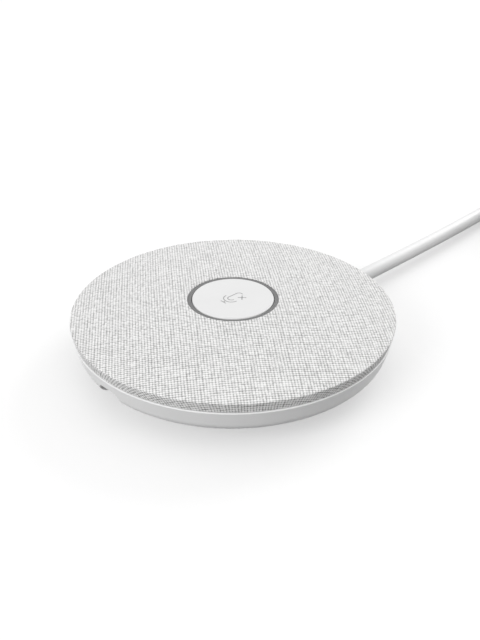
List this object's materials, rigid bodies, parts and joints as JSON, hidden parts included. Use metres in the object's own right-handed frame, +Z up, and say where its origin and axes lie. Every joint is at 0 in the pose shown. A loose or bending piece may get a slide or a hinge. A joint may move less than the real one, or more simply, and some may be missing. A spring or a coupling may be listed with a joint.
{
  "type": "table microphone pod",
  "caption": "Low round table microphone: woven fabric dome on a shallow plastic bowl, central mute button with light ring, side port and a captive cable with a coil and plug.",
  "frame": {"origin": "centre of the rubber foot's underside, on the table", "axes": "+Z up; +Y from the centre towards the cable's exit; -Y towards the expansion port; +X to the right of that"},
  "size_m": [0.1324, 0.2794, 0.0279],
  "materials": {
    "woven_fabric": "woven melange, off-white and light grey yarn",
    "dark_plastic": "matte moulded",
    "diffuser": "translucent smoky grey, lamp off",
    "white_plastic": "fine satin",
    "grey_plastic": "fine satin, light grey",
    "silicone": "soft, translucent",
    "black_plastic": "moulded",
    "circuit_board": "green solder mask",
    "tinned_steel": "bright tin plate",
    "plate_steel": "zinc plated",
    "screw_steel": "zinc plated",
    "rubber": "matte",
    "white_rubber": "matte",
    "dust_mesh": "fine acoustic mesh",
    "lamp_package": "moulded lamp package",
    "ceramic": "fired",
    "label_film": "matte film, blank",
    "wire_insulation": "insulated strands",
    "cable_jacket": "smooth round jacket",
    "tie_strap": "hook-and-loop strap",
    "plug_plastic": "fine satin"
  },
  "bodies": {
    "pod": {"fabric_cover": "woven_fabric", "top_frame": "dark_plastic", "light_ring": "diffuser", "button_guide": "dark_plastic", "return_dome": "silicone", "switch_body": "black_plastic", "main_board": "circuit_board", "microphones": "tinned_steel", "microphone_gaskets": "rubber", "dust_meshes": "dust_mesh", "ring_lamps": "lamp_package", "shield_can": "tinned_steel", "audio_processor": "black_plastic", "usb_controller": "black_plastic", "capacitors": "ceramic", "bottom_bowl": "grey_plastic", "rubber_foot": "rubber", "rating_label": "label_film", "ballast_plate": "plate_steel", "housing_screws": "screw_steel", "board_screws": "screw_steel", "port_shell": "tinned_steel", "port_tongue": "black_plastic", "port_board": "circuit_board", "cable_gland": "white_rubber", "cable_clamp": "dark_plastic", "clamp_screws": "screw_steel", "inner_wires": "wire_insulation", "wire_plug": "black_plastic", "board_header": "black_plastic", "cable": "cable_jacket", "cable_tail": "cable_jacket", "cable_coil": "cable_jacket", "cable_ties": "tie_strap", "plug_boot": "white_rubber", "plug_body": "plug_plastic", "plug_shell": "tinned_steel", "plug_insert": "black_plastic"},
    "button": {"mute_button": "white_plastic", "switch_plunger": "black_plastic"}
  },
  "joints": [
    {"name": "button_press", "type": "slide", "parent": "pod", "child": "button", "axis": [0, 0, -1], "range_m": [0, 0.0006], "stiffness_N_per_m": 2500, "springref_m": -0.00002, "deforming": ["return_dome"]}
  ]
}
